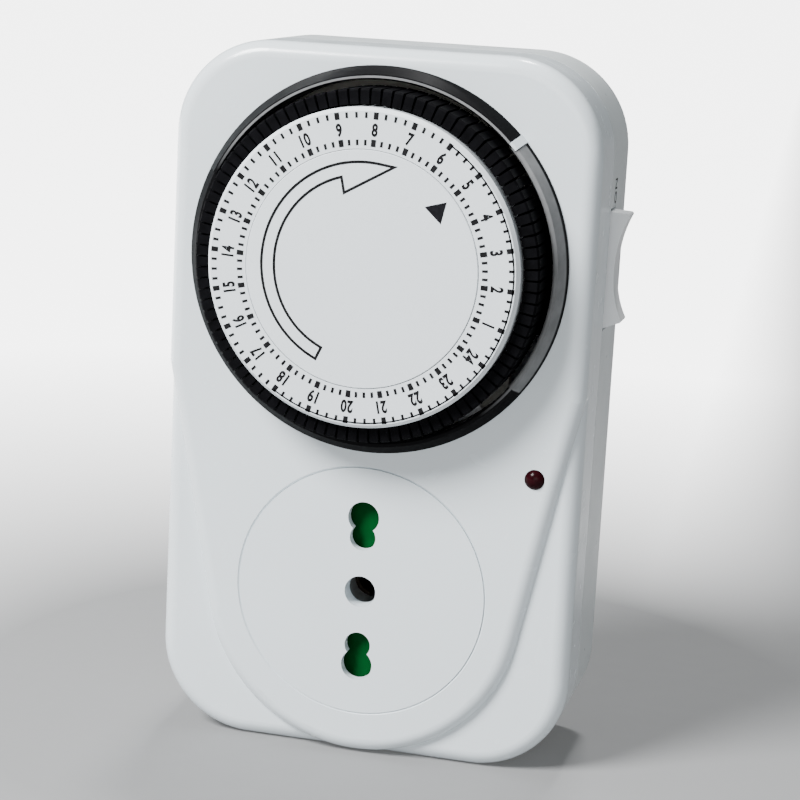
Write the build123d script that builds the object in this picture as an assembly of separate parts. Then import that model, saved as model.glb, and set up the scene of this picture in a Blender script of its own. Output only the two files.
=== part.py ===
from build123d import *
from math import cos, radians, sin, tan
import os

# Plug-in 24-hour timer switch, in millimetres.
# Pieces are drawn in the front view: x to the right, y up, z out of the wall towards the user,
# with z = 0 on the face of the plug boss and the earth pin's axis through x = y = 0.
# The last step stands them up, so that +Z is up and +Y points into the wall.
# The socket and the dial set the size: the case closes round them with named margins.

# ---- clearances ----
SEAT = 0.02
FIT = 0.05
GAP = 0.1
CUT = 1.0

# ---- plug and socket: round pins in line, 16 A size, with 10 A inner holes ----
PIN_R = 2.5
PIN_PITCH = 13.0
PIN_LENGTH = 19.0
PIN_TIP_ROUND = 1.1
SLEEVE_LENGTH = 10.0
SLEEVE_T = 0.51
PIN_CORE_R = PIN_R - SLEEVE_T - SEAT
HOLE_PLAY = 0.2
HOLE_16_R = PIN_R + HOLE_PLAY
PIN_10_R = 2.0
HOLE_10_R = PIN_10_R + HOLE_PLAY + FIT
PITCH_10 = 9.5
PIN_SHOULDER_R = PIN_R + 0.2
PIN_FLANGE_R = PIN_R + 1.35
PIN_FLANGE_T = 1.7
PIN_TAIL_R = 1.35
SOCKET_R = 21.5
FLANGE_R = SOCKET_R + 2.3
FLANGE_POCKET_R = FLANGE_R + 0.2
BODY_R = FLANGE_R - 0.2
BOSS_R = PIN_PITCH + 7.0

# ---- dial: number ring, drum and tappets, from the inside out ----
RING_R = 26.0
RING_BEVEL = 0.6
RING_BEVEL_H = 0.75
RING_SKIRT_T = 1.0
RING_H = 5.63
RING_T = 2.0
RING_BORE_R = 19.4
CAP_R = RING_BORE_R - GAP
CAP_T = 1.83
POST_R = 3.0
DRUM_R = RING_R + 0.2
TAPPET_IN_R = DRUM_R + GAP
TAPPET_T = 2.5
TAPPET_OUT_R = TAPPET_IN_R + TAPPET_T
TAPPET_W = 1.45
TAPPET_H = 9.4
TAPPET_SINK = 2.03
TAPPET_TRAVEL = 3.0
TAB_REACH = 0.6
TAB_LIFT = 0.55
TAB_H = 1.95
HOURS = 24
PER_HOUR = 4
DIAL_TURN = -123.05
COLLAR_IN_R = TAPPET_OUT_R + 1.1
COLLAR_T = 0.55
CASE_HOLE_R = COLLAR_IN_R + COLLAR_T + GAP
COLLAR_OUT_R = CASE_HOLE_R + 1.55
COLLAR_H = 2.7
GUARD_LIFT = 0.8
GUARD_FROM = -37.0
GUARD_TO = 155.0
POINTER_ANGLE = 43.2
MARK_W = 1.5

# ---- where the dial stands above the socket ----
SOCKET_WEB = 1.95
DIAL_Y = FLANGE_POCKET_R + SOCKET_WEB + CASE_HOLE_R

# ---- case ----
SIDE_MARGIN = 3.95
TOP_MARGIN = 2.75
BOTTOM_MARGIN = 5.1
SIDE_X = COLLAR_OUT_R + SIDE_MARGIN
CASE_TOP = DIAL_Y + COLLAR_OUT_R + TOP_MARGIN
CASE_BOTTOM = -(FLANGE_POCKET_R + BOTTOM_MARGIN)
CORNER_R = 16.0
WALL = 2.0
BOSS_H = 2.0
FLOOR_Z = BOSS_H + WALL
PART_Z = 18.5
PART_GAP = 0.1
FACE_Z = 32.0
LOWER_DROP = 1.8
LOW_Z = FACE_Z - LOWER_DROP
UNDER_Z = LOW_Z - WALL
FRONT_EDGE_R = 2.7
REAR_EDGE_R = 2.0
LIP_T = 1.0
LIP_FIT = 0.15
LIP_DROP = 1.5

# ---- raised tongue round the socket ----
TONGUE_R = FLANGE_POCKET_R + 3.8
TONGUE_Y = -1.0
TONGUE_TILT = 11.5
TONGUE_ROUND = 2.5

# ---- heights of socket, shutter and contacts ----
SOCKET_T = 3.2
SOCKET_SKIN = 1.7
SOCKET_GROOVE = 0.3
SOCKET_BACK_Z = FACE_Z - SOCKET_T
FLANGE_Z = LOW_Z - GAP
SHUTTER_FRONT_Z = FACE_Z - SOCKET_SKIN - 0.15
SHUTTER_T = 1.8
SHUTTER_Z0 = SHUTTER_FRONT_Z - SHUTTER_T
SHUTTER_TRAVEL = 2 * HOLE_16_R + 0.8
SHUTTER_X0 = -HOLE_16_R - 0.7
SHUTTER_X1 = HOLE_16_R + 3.9
SHUTTER_BRIDGE = 3.2
SHUTTER_Y0 = PITCH_10 - HOLE_10_R - 0.65
SHUTTER_Y1 = PIN_PITCH + HOLE_16_R + 0.3
SHUTTER_END_X = SHUTTER_X1 + SHUTTER_TRAVEL + 0.4
SHUTTER_TAB_L = 1.2
SPRING_X0 = SHUTTER_X1 + 0.3
SPRING_L = 8.6
SPRING_R = 0.85
SPRING_WIRE_R = 0.15
SPRING_TURNS = 7
SPRING_END_X = SPRING_X0 + SPRING_L + 0.4
BODY_FLAT_X = SPRING_END_X + 2.2
CONTACT_Z = FLOOR_Z + 4.2
CONTACT_TOP_Z = SHUTTER_Z0 - 1.3
EARTH_TOP_Z = FACE_Z - 9.0
EARTH_BORE_PLAY = 0.5
CONTACT_T = 0.8
LEAF_T = 0.6
LEAF_Y0 = PITCH_10 - HOLE_10_R - 0.35
LEAF_Y1 = PIN_PITCH + HOLE_16_R + 0.2
LEAF_PLAY = 0.5

# ---- heights of the dial ----
DIAL_H = 9.93
DIAL_TOP_Z = FACE_Z + DIAL_H
COLLAR_TOP_Z = FACE_Z + COLLAR_H
TAPPET_TOP_Z = DIAL_TOP_Z - TAPPET_SINK
TAPPET_FOOT_Z = TAPPET_TOP_Z - TAPPET_H
TAB_Z0 = TAPPET_FOOT_Z + TAB_LIFT
TAB_Z1 = TAB_Z0 + TAB_H
GROOVE_Z0 = TAB_Z0 - TAPPET_TRAVEL - GAP
GROOVE_Z1 = TAB_Z1 + 0.15
DRUM_FOOT_Z = GROOVE_Z0 - 0.35
DRUM_TOP_Z = DIAL_TOP_Z - RING_T - FIT

# ---- gear train on its plate ----
MODULE = 0.5
TOOTH_INSET = 2.2
DIAL_TEETH = round(2 * (DRUM_R - TOOTH_INSET) / MODULE)
IDLER_PINION_TEETH = 12
IDLER_TEETH = 48
MOTOR_TEETH = 12
IDLER_ANGLE = -140.0
MOTOR_ANGLE = 60.0
GEAR_T = 2.0
IDLER_T = 1.5
ARBOR_R = 1.0
PLATE_T = 2.0
PLATE_Z0 = PART_Z - 0.5
PLATE_Z1 = PLATE_Z0 + PLATE_T
IDLER_Z0 = PLATE_Z1 + 1.5
MOTOR_R = 18.0
MOTOR_EAR_X = 14.0
MOTOR_EAR_Y = 16.5
MOTOR_EAR_T = 1.15
DIAL_PITCH_R = MODULE * DIAL_TEETH / 2
IDLER_ARM = MODULE * (DIAL_TEETH + IDLER_PINION_TEETH) / 2
IDLER_X = IDLER_ARM * cos(radians(IDLER_ANGLE))
IDLER_Y = DIAL_Y + IDLER_ARM * sin(radians(IDLER_ANGLE))
MOTOR_ARM = MODULE * (IDLER_TEETH + MOTOR_TEETH) / 2
MOTOR_X = IDLER_X + MOTOR_ARM * cos(radians(MOTOR_ANGLE))
MOTOR_Y = IDLER_Y + MOTOR_ARM * sin(radians(MOTOR_ANGLE))
PLATE_MARGIN = 5.05
PLATE_SIDE_ROOM = 15.05
PLATE_STEP_W = 7.0
PLATE_STEP_H = 8.0
PLATE_X0 = PLATE_MARGIN - SIDE_X
PLATE_X1 = SIDE_X - PLATE_SIDE_ROOM
PLATE_Y0 = FLANGE_POCKET_R + 3.0
PLATE_Y1 = CASE_TOP - PLATE_MARGIN - 0.3

# ---- rocker ----
ROCKER_HALF = 9.8
ROCKER_T = 4.7
ROCKER_GAP = 0.5
ROCKER_Z1 = PART_Z - 0.2
ROCKER_Z0 = ROCKER_Z1 - ROCKER_T
ROCKER_PIVOT_X = SIDE_X - 3.65
ROCKER_PIVOT_R = 1.2
ROCKER_Y = DIAL_Y
ROCKER_Y0 = ROCKER_Y - ROCKER_HALF
ROCKER_Y1 = ROCKER_Y + ROCKER_HALF
ROCKER_TOP_REACH = 3.37
ROCKER_WAIST_REACH = 1.23
ROCKER_FOOT_REACH = 3.13
HOUSING_T = 1.25
HOUSING_X0 = ROCKER_PIVOT_X - 8.9
HOUSING_X1 = ROCKER_PIVOT_X + 1.5
HOUSING_Z0 = ROCKER_Z0 - 0.15 - HOUSING_T
HOUSING_Z1 = ROCKER_Z1 + 0.15 + HOUSING_T

# ---- switch lever and microswitch ----
NOSE_R = (TAPPET_IN_R + TAPPET_OUT_R) / 2 - FIT
LEVER_Y = DIAL_Y + NOSE_R * sin(radians(POINTER_ANGLE))
NOSE_X = NOSE_R * cos(radians(POINTER_ANGLE))
NOSE_HALF_W = 0.7
NOSE_LEAD = 1.9
NOSE_TOP_Z = TAPPET_FOOT_Z - NOSE_LEAD
LEVER_T = 1.5
LEVER_HALF_W = 1.5
LEVER_HUB_R = 1.5
LEVER_HUB_HALF = 1.9
LEVER_PIVOT_R = 0.8
LEVER_PIVOT_X = SIDE_X - 5.05
LEVER_Z0 = PLATE_Z1 + 1.5
LEVER_Z1 = LEVER_Z0 + LEVER_T
LEVER_PIVOT_Z = LEVER_Z0 + 0.8
EAR_T = 1.2
EAR_Y = LEVER_HUB_HALF + 0.3 + EAR_T / 2
MICRO_L = 16.0
MICRO_W = 6.4
MICRO_H = 9.0
MICRO_X1 = LEVER_PIVOT_X - 2.0
MICRO_X0 = MICRO_X1 - MICRO_L
MICRO_Z1 = PLATE_Z1 - GAP
MICRO_Z0 = MICRO_Z1 - MICRO_H
PLUNGER_X = MICRO_X1 - 4.0
PLUNGER_R = 0.9

# ---- screws ----
SCREW_R = 1.5
SCREW_HEAD_R = 2.9
SCREW_HEAD_H = 2.08
SCREW_BOSS_R = 3.2
SCREW_SEAT_Z = FLOOR_Z + 7.5
SCREW_TIP_Z = UNDER_Z - 3.5
SCREW_INSET = CORNER_R - 7.6
SCREW_X = SIDE_X - SCREW_INSET
SCREW_TOP_Y = CASE_TOP - SCREW_INSET
SCREW_LOW_Y = CASE_BOTTOM + SCREW_INSET
CASE_SCREWS = [(-SCREW_X, SCREW_TOP_Y), (SCREW_X, SCREW_TOP_Y),
               (-SCREW_X, SCREW_LOW_Y), (SCREW_X, SCREW_LOW_Y)]
PLATE_SCREW_R = 1.05
PLATE_SCREW_HEAD_R = 2.4
PLATE_SCREW_L = 7.0
PLATE_SCREW_LEFT = 4.0
PLATE_SCREW_RIGHT = 6.0
PLATE_SCREW_UP = 3.0
PLATE_SCREW_Y0 = PLATE_Y0 + PLATE_SCREW_UP
PLATE_SCREW_Y1 = PLATE_Y1 - PLATE_SCREW_UP
PLATE_SCREW_X0 = PLATE_X0 + PLATE_SCREW_LEFT
PLATE_SCREW_X1 = PLATE_X1 - PLATE_SCREW_RIGHT
PLATE_SCREWS = [(PLATE_SCREW_X0, PLATE_SCREW_Y0), (PLATE_SCREW_X1, PLATE_SCREW_Y0),
                (PLATE_SCREW_X0 + PLATE_STEP_W, PLATE_SCREW_Y1), (PLATE_SCREW_X1, PLATE_SCREW_Y1)]
MOTOR_SCREW_R = 1.15
MOTOR_SCREWS = [(MOTOR_X - MOTOR_EAR_X, MOTOR_Y + MOTOR_EAR_Y),
                (MOTOR_X + MOTOR_EAR_X, MOTOR_Y - MOTOR_EAR_Y)]

# ---- indicator ----
LAMP_INSET = 7.35
LAMP_BELOW = 1.6
LAMP_X = SIDE_X - LAMP_INSET
LAMP_Y = DIAL_Y - COLLAR_OUT_R - LAMP_BELOW
LENS_R = 1.62
LENS_FLANGE_R = 2.3
LENS_FOOT_Z = UNDER_Z - 1.8
LENS_RISE = 0.8
LAMP_R = 1.5
BOARD_Z0 = FLOOR_Z + 10.0
BOARD_T = 1.4
BOARD_LEFT = 4.6
BOARD_RIGHT = 3.6
BOARD_LOW = 4.5
BOARD_HIGH = 5.5


def cyl(r, z0, z1, x=0.0, y=0.0):
    return Pos(x, y, (z0 + z1) / 2) * Cylinder(r, z1 - z0)


def ring(r_out, r_in, z0, z1, x=0.0, y=0.0):
    return cyl(r_out, z0, z1, x, y) - cyl(r_in, z0 - CUT, z1 + CUT, x, y)


def block(x0, x1, y0, y1, z0, z1):
    middle = Pos((x0 + x1) / 2, (y0 + y1) / 2, (z0 + z1) / 2)
    return middle * Box(x1 - x0, y1 - y0, z1 - z0)


def slab(margin, z0, z1):
    # the case's outline, brought in by a margin
    height = CASE_TOP - CASE_BOTTOM
    face = RectangleRounded(2 * (SIDE_X - margin), height - 2 * margin, CORNER_R - margin)
    return extrude(Pos(0, CASE_BOTTOM + height / 2, z0) * face, z1 - z0)


def turned(points, x=0.0, y=0.0):
    # revolve a closed (radius, z) outline about the z axis through x, y
    face = make_face(Polyline(*[(r, 0, z) for r, z in points], close=True))
    return Pos(x, y, 0) * revolve(face, Axis.Z, 360)


def side_prism(points, y0, y1):
    # extrude a closed (x, z) outline along y
    face = make_face(Polyline(*[(x, y0, z) for x, z in points], close=True))
    return extrude(face, y1 - y0, dir=(0, 1, 0))


def along_y(r, x, y0, y1, z):
    return Pos(x, (y0 + y1) / 2, z) * Rot(90, 0, 0) * Cylinder(r, y1 - y0)


def at_dial(angle=0.0):
    # place on the dial's axis, turned anticlockwise as seen from the front
    return Pos(0, DIAL_Y, 0) * Rot(0, 0, angle)


def sector(a0, a1, r, z0, z1):
    # wedge of a disc from angle a0 to a1 about the dial's axis
    angles = [a0 + (a1 - a0) * n / 4 for n in range(5)]
    points = [(0, 0)] + [(r * cos(radians(a)), r * sin(radians(a))) for a in angles]
    return at_dial() * extrude(Pos(0, 0, z0) * make_face(Polyline(*points, close=True)), z1 - z0)


def cross_recess(x, y, z0, z1, size, arm=0.35):
    return block(x - size, x + size, y - arm, y + arm, z0, z1) + \
        block(x - arm, x + arm, y - size, y + size, z0, z1)


# ---------------------------------------------------------------- front cover
def tongue_block(z0):
    # round foot about the socket, with sides that lean out until they leave the case
    lean = radians(TONGUE_TILT)
    foot_x = TONGUE_R * cos(lean)
    foot_y = TONGUE_Y - TONGUE_R * sin(lean)
    top_y = 2 * CASE_TOP
    top_x = foot_x + (top_y - foot_y) * tan(lean)
    foot = ThreePointArc((-foot_x, foot_y), (0, TONGUE_Y - TONGUE_R), (foot_x, foot_y))
    right = Line((foot_x, foot_y), (top_x, top_y))
    left = Line((-top_x, top_y), (-foot_x, foot_y))
    outline = make_face([foot, right, Line((top_x, top_y), (-top_x, top_y)), left])
    tongue = extrude(Pos(0, 0, z0) * outline, FACE_Z - z0)
    rim = [e for e in tongue.faces().sort_by(Axis.Z)[-1].edges() if e.center().Y < top_y - CUT]
    return fillet(rim, TONGUE_ROUND)


def front_cover_shape():
    # the tongue and all above it at full height, on a lower plate that shows in the lower corners
    start = PART_Z + PART_GAP
    full = slab(0, start, FACE_Z)
    full = fillet(full.faces().sort_by(Axis.Z)[-1].edges(), FRONT_EDGE_R)
    low = slab(0, start, LOW_Z)
    low = fillet(low.faces().sort_by(Axis.Z)[-1].edges(), FRONT_EDGE_R)
    return low + (full & tongue_block(start))


def time_mark():
    # white mark that crosses the collar, in line with the triangle on the cap
    foot = FACE_Z - 0.4
    top = COLLAR_TOP_Z + 0.2
    inner = COLLAR_IN_R + 0.4
    outer = COLLAR_OUT_R + GAP
    outline = [(inner, FACE_Z + 0.4), (CASE_HOLE_R + GAP, foot), (outer, foot), (outer, FACE_Z + 0.5),
               (CASE_HOLE_R + 0.25, top), (inner, top)]
    return at_dial(POINTER_ANGLE) * side_prism(outline, -MARK_W / 2, MARK_W / 2)


def front_cover():
    cover = front_cover_shape()
    cover -= slab(WALL, PART_Z - 5, UNDER_Z)
    # lip that locates in the rear cover, open at the rocker
    lip = slab(WALL - 0.5, PART_Z + PART_GAP, PART_Z + 2)
    lip += slab(WALL + LIP_FIT, PART_Z - LIP_DROP, PART_Z + 1)
    lip -= slab(WALL + LIP_FIT + LIP_T, PART_Z - 3, PART_Z + 4)
    lip -= block(SIDE_X / 2, 2 * SIDE_X, ROCKER_Y0 - 4, ROCKER_Y1 + 4, PART_Z - 3, PART_Z + 4)
    for x, y in CASE_SCREWS:
        lip -= cyl(SCREW_BOSS_R + 0.2, PART_Z - 3, PART_Z, x, y)
    cover += lip
    for x, y in CASE_SCREWS:
        cover += cyl(SCREW_BOSS_R, PART_Z, UNDER_Z + 0.5, x, y)
        cover -= cyl(SCREW_R + FIT, PART_Z - CUT, SCREW_TIP_Z + 1, x, y)
    cover -= cyl(CASE_HOLE_R, PART_Z - 5, FACE_Z + 5, 0, DIAL_Y)
    opening_r = SOCKET_R + FIT
    rim_r = opening_r + SOCKET_GROOVE
    cover -= turned([(0, PART_Z), (opening_r, PART_Z), (opening_r, FACE_Z - SOCKET_GROOVE),
                     (rim_r, FACE_Z), (rim_r, FACE_Z + CUT), (0, FACE_Z + CUT)])
    cover -= cyl(FLANGE_POCKET_R, PART_Z, LOW_Z)
    cover -= cyl(LENS_R + 0.08, PART_Z, FACE_Z + 5, LAMP_X, LAMP_Y)
    return cover + time_mark()


# ----------------------------------------------------------------- rear cover
def rear_cover():
    inside = FLOOR_Z - 0.5
    cover = slab(0, BOSS_H, PART_Z - PART_GAP)
    cover = fillet(cover.faces().sort_by(Axis.Z)[0].edges(), REAR_EDGE_R)
    boss = cyl(BOSS_R, 0, BOSS_H + 1)
    cover += fillet(boss.faces().sort_by(Axis.Z)[0].edges(), 0.6)
    cover -= slab(WALL, FLOOR_Z, PART_Z + CUT)
    for y in (-PIN_PITCH, 0, PIN_PITCH):
        cover -= cyl(PIN_SHOULDER_R + FIT, -CUT, FLOOR_Z + CUT, 0, y)
    for x, y in CASE_SCREWS:
        cover += cyl(SCREW_BOSS_R + 1.2, inside, SCREW_SEAT_Z + WALL, x, y) & slab(0.5, 0, FACE_Z)
        cover += cyl(SCREW_BOSS_R, SCREW_SEAT_Z, PART_Z - SEAT, x, y)
        cover -= cyl(SCREW_BOSS_R, 0, SCREW_SEAT_Z, x, y)
        cover -= cyl(SCREW_R + 0.2, SCREW_SEAT_Z - CUT, PART_Z + CUT, x, y)
    for x, y in PLATE_SCREWS:
        cover += cyl(PLATE_SCREW_R + 1.55, inside, PLATE_Z0 - SEAT, x, y)
        cover -= cyl(PLATE_SCREW_R + FIT, PLATE_Z0 - PLATE_SCREW_L - 2, PLATE_Z0 + CUT, x, y)
    # posts under the microswitch, the rocker housing and the indicator board
    micro_mid = (MICRO_X0 + MICRO_X1) / 2
    cover += block(micro_mid - 5, micro_mid + 5, LEVER_Y - 2, LEVER_Y + 2, inside, MICRO_Z0 - SEAT)
    cover += block(HOUSING_X0 + 1.5, HOUSING_X1 - 0.9, ROCKER_Y - 6, ROCKER_Y + 6, inside,
                   HOUSING_Z0 - SEAT)
    cover += block(LAMP_X - 2.2, LAMP_X + 2.2, LAMP_Y - 2, LAMP_Y + 2, inside, BOARD_Z0 - SEAT)
    # notch in the right wall for the rocker, open to the parting line
    cover -= block(SIDE_X - 3 * WALL, 2 * SIDE_X, ROCKER_Y0 - ROCKER_GAP, ROCKER_Y1 + ROCKER_GAP,
                   ROCKER_Z0 - 0.2, PART_Z + CUT)
    return cover


def case_screws():
    screws = []
    head_z = SCREW_SEAT_Z - SEAT - SCREW_HEAD_H
    for x, y in CASE_SCREWS:
        head = cyl(SCREW_HEAD_R, head_z, SCREW_SEAT_Z - SEAT, x, y)
        head = fillet(head.faces().sort_by(Axis.Z)[0].edges(), 0.7)
        screw = head + cyl(SCREW_R, SCREW_SEAT_Z - 0.5, SCREW_TIP_Z, x, y)
        screws.append(screw - cross_recess(x, y, head_z - 0.4, head_z + 1.2, 1.7))
    return Compound(children=screws)


# ------------------------------------------------------------ socket and plug
def socket_holes(z0, z1):
    holes = cyl(HOLE_16_R, z0, z1)
    for side in (-1, 1):
        holes += cyl(HOLE_16_R, z0, z1, 0, side * PIN_PITCH)
        holes += cyl(HOLE_10_R, z0, z1, 0, side * PITCH_10)
    return holes


def shutter_room(z0, z1, play):
    # space that the shutter sweeps: a band across each pair of holes, joined at the right
    x0 = SHUTTER_X0 - 1.2
    bridge_x = SHUTTER_X1 - SHUTTER_BRIDGE - play
    room = block(bridge_x, SHUTTER_END_X, -SHUTTER_Y1 - play, SHUTTER_Y1 + play, z0, z1)
    room += block(x0, SHUTTER_END_X, SHUTTER_Y0 - play, SHUTTER_Y1 + play, z0, z1)
    return room + block(x0, SHUTTER_END_X, -SHUTTER_Y1 - play, play - SHUTTER_Y0, z0, z1)


def spring_room(z1):
    half = SPRING_R + 0.75
    return block(SHUTTER_X1, SPRING_END_X, -half, half, SHUTTER_Z0 - 0.6, z1)


def socket_face():
    # disc with a flange behind the cover, and a shallow pocket at the back for the shutter
    face = cyl(SOCKET_R, SOCKET_BACK_Z, FACE_Z) + cyl(FLANGE_R, SOCKET_BACK_Z, FLANGE_Z)
    face -= shutter_room(SOCKET_BACK_Z - CUT, FACE_Z - SOCKET_SKIN, 0.2)
    face -= spring_room(FACE_Z - SOCKET_SKIN)
    return face - socket_holes(SOCKET_BACK_Z - CUT, FACE_Z + CUT)


def safety_shutter():
    # one slider covers both pairs of holes; pins push its ramps and move it to the right
    z0 = SHUTTER_Z0
    z1 = SHUTTER_FRONT_Z
    ramp = [(SHUTTER_X0, z0), (SHUTTER_X1, z0), (SHUTTER_X1, z1), (SHUTTER_X0 + 4.9, z1),
            (SHUTTER_X0, z0 + 0.5)]
    slider = side_prism(ramp, SHUTTER_Y0, SHUTTER_Y1) + side_prism(ramp, -SHUTTER_Y1, -SHUTTER_Y0)
    slider += block(SHUTTER_X1 - SHUTTER_BRIDGE, SHUTTER_X1, -SHUTTER_Y0 - 0.4, SHUTTER_Y0 + 0.4, z0, z1)
    return slider + block(SHUTTER_X1 - 0.2, SHUTTER_X1 + SHUTTER_TAB_L, -0.4, 0.4, z0 + 0.5, z1 - 0.5)


def shutter_spring():
    # compression spring between the slider and the socket body's wall
    coil = Helix(pitch=SPRING_L / SPRING_TURNS, height=SPRING_L, radius=SPRING_R)
    wire = Plane(coil @ 0, z_dir=coil % 0) * Circle(SPRING_WIRE_R)
    body = sweep(wire, path=coil, is_frenet=True)
    return Pos(SPRING_X0, 0, (SHUTTER_Z0 + SHUTTER_FRONT_Z) / 2) * Rot(0, 90, 0) * body


def socket_body():
    top = SOCKET_BACK_Z - FIT
    over = top + CUT
    far = 2 * BODY_R
    body = cyl(BODY_R, FLOOR_Z + FIT, top)
    body -= block(BODY_FLAT_X, far, -far, far, 0, FACE_Z)
    body -= block(-far, -BODY_FLAT_X, -far, far, 0, FACE_Z)
    # channel of the shutter and of its spring
    body -= shutter_room(SHUTTER_Z0 - GAP, over, 0.3)
    body -= spring_room(over)
    # chambers of the contacts
    half_x = HOLE_16_R + LEAF_T + LEAF_PLAY
    for side in (-1, 1):
        y0, y1 = sorted((side * (LEAF_Y0 - LEAF_PLAY), side * (LEAF_Y1 + LEAF_PLAY)))
        body -= block(-half_x, half_x, y0, y1, CONTACT_Z - FIT, over)
    # the earth contact sits deep, below a plain bore
    body -= cyl(half_x, CONTACT_Z - FIT, EARTH_TOP_Z + 0.3)
    body -= cyl(HOLE_16_R + EARTH_BORE_PLAY, EARTH_TOP_Z, over)
    for y in (-PIN_PITCH, 0, PIN_PITCH):
        body -= cyl(PIN_FLANGE_R + 0.15, FLOOR_Z - CUT, FLOOR_Z + PIN_FLANGE_T + FIT, 0, y)
        body -= cyl(PIN_TAIL_R + GAP, FLOOR_Z - CUT, CONTACT_Z + CUT, 0, y)
    return body


def leaf_contact(side):
    half_x = HOLE_16_R + LEAF_T
    y0, y1 = sorted((side * LEAF_Y0, side * LEAF_Y1))
    contact = block(-half_x, half_x, y0, y1, CONTACT_Z, CONTACT_Z + CONTACT_T)
    contact += block(-half_x, -HOLE_16_R, y0, y1, CONTACT_Z, CONTACT_TOP_Z)
    return contact + block(HOLE_16_R, half_x, y0, y1, CONTACT_Z, CONTACT_TOP_Z)


def earth_contact():
    # split tube on a disc
    inner = HOLE_16_R - FIT
    outer = inner + 0.7
    contact = ring(outer, inner, CONTACT_Z + 0.5, EARTH_TOP_Z)
    contact += cyl(outer, CONTACT_Z, CONTACT_Z + CONTACT_T)
    return contact - block(-0.5, 0.5, -2 * outer, 2 * outer, CONTACT_Z + 3, FACE_Z)


def pin_root(y):
    flange = cyl(PIN_FLANGE_R, FLOOR_Z + SEAT, FLOOR_Z + PIN_FLANGE_T, 0, y)
    return flange + cyl(PIN_TAIL_R, FLOOR_Z + 1, CONTACT_Z - SEAT, 0, y)


def earth_pin():
    pin = cyl(PIN_R, -PIN_LENGTH, 0.5)
    pin = fillet(pin.faces().sort_by(Axis.Z)[0].edges(), PIN_TIP_ROUND)
    return pin + cyl(PIN_SHOULDER_R, 0, FLOOR_Z + 0.5) + pin_root(0)


def power_pin(y):
    tip = cyl(PIN_R, -PIN_LENGTH, -SLEEVE_LENGTH, 0, y)
    tip = fillet(tip.faces().sort_by(Axis.Z)[0].edges(), PIN_TIP_ROUND)
    return tip + cyl(PIN_CORE_R, -SLEEVE_LENGTH - 0.5, FLOOR_Z + 0.5, 0, y) + pin_root(y)


def pin_sleeves():
    sleeves = []
    for y in (-PIN_PITCH, PIN_PITCH):
        sleeve = cyl(PIN_R, -SLEEVE_LENGTH + SEAT, 0.5, 0, y) + cyl(PIN_SHOULDER_R, 0, FLOOR_Z, 0, y)
        sleeves.append(sleeve - cyl(PIN_CORE_R + SEAT, -PIN_LENGTH, FLOOR_Z + CUT, 0, y))
    return Compound(children=sleeves)


# ----------------------------------------------------------------------- dial
def collar_outline(top):
    # sleeve through the case with a flange on its face
    sleeve_r = CASE_HOLE_R - GAP
    seat = FACE_Z + SEAT
    return turned([(COLLAR_IN_R, DRUM_FOOT_Z + 0.5), (sleeve_r, DRUM_FOOT_Z + 0.5), (sleeve_r, seat),
                   (COLLAR_OUT_R, seat), (COLLAR_OUT_R, FACE_Z + 0.3), (CASE_HOLE_R + 0.2, top),
                   (COLLAR_IN_R + 0.3, top), (COLLAR_IN_R, top - 0.3)], 0, DIAL_Y)


def dial_collar():
    # the guard sector stands a little higher, and the time mark passes through a slot
    guard = sector(GUARD_FROM, GUARD_TO, 2 * COLLAR_OUT_R, FACE_Z + GAP, 2 * FACE_Z)
    collar = (collar_outline(COLLAR_TOP_Z) & guard) + collar_outline(COLLAR_TOP_Z - GUARD_LIFT)
    half = MARK_W / 2 + GAP
    slot = block(COLLAR_IN_R + 0.3, COLLAR_OUT_R + CUT, -half, half, FACE_Z - 0.5, 2 * FACE_Z)
    return collar - at_dial(POINTER_ANGLE) * slot


def number_ring():
    skirt_r = RING_R - RING_SKIRT_T
    foot = DIAL_TOP_Z - RING_H
    return turned([(RING_BORE_R, DIAL_TOP_Z - RING_T), (skirt_r, DIAL_TOP_Z - RING_T), (skirt_r, foot),
                   (RING_R, foot), (RING_R, DIAL_TOP_Z - RING_BEVEL_H), (RING_R - RING_BEVEL, DIAL_TOP_Z),
                   (RING_BORE_R, DIAL_TOP_Z)], 0, DIAL_Y)


def centre_cap():
    # disc on a post whose foot is pressed into the plate
    foot_r = POST_R - 1.05
    top = DIAL_TOP_Z + GAP
    return turned([(0, PLATE_Z0 + GAP), (foot_r - 0.25, PLATE_Z0 + GAP), (foot_r, PLATE_Z0 + 0.4),
                   (foot_r, PLATE_Z1 + SEAT), (POST_R, PLATE_Z1 + SEAT), (POST_R, DIAL_TOP_Z - CAP_T),
                   (CAP_R, DIAL_TOP_Z - CAP_T), (CAP_R, DIAL_TOP_Z), (CAP_R - GAP, top), (0, top)],
                  0, DIAL_Y)


def gear(teeth, z0, z1, phase=0.0):
    # straight-flanked spur teeth with running backlash
    pitch_r = MODULE * teeth / 2
    root_r = pitch_r - 1.15 * MODULE
    tip_r = pitch_r + 0.75 * MODULE
    step = 360 / teeth
    points = []
    for n in range(teeth):
        for r, part in ((root_r, -0.30), (tip_r, -0.12), (tip_r, 0.12), (root_r, 0.30)):
            a = radians(phase + (n + part) * step)
            points.append((r * cos(a), r * sin(a)))
    return extrude(Pos(0, 0, z0) * make_face(Polyline(*points, close=True)), z1 - z0)


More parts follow.
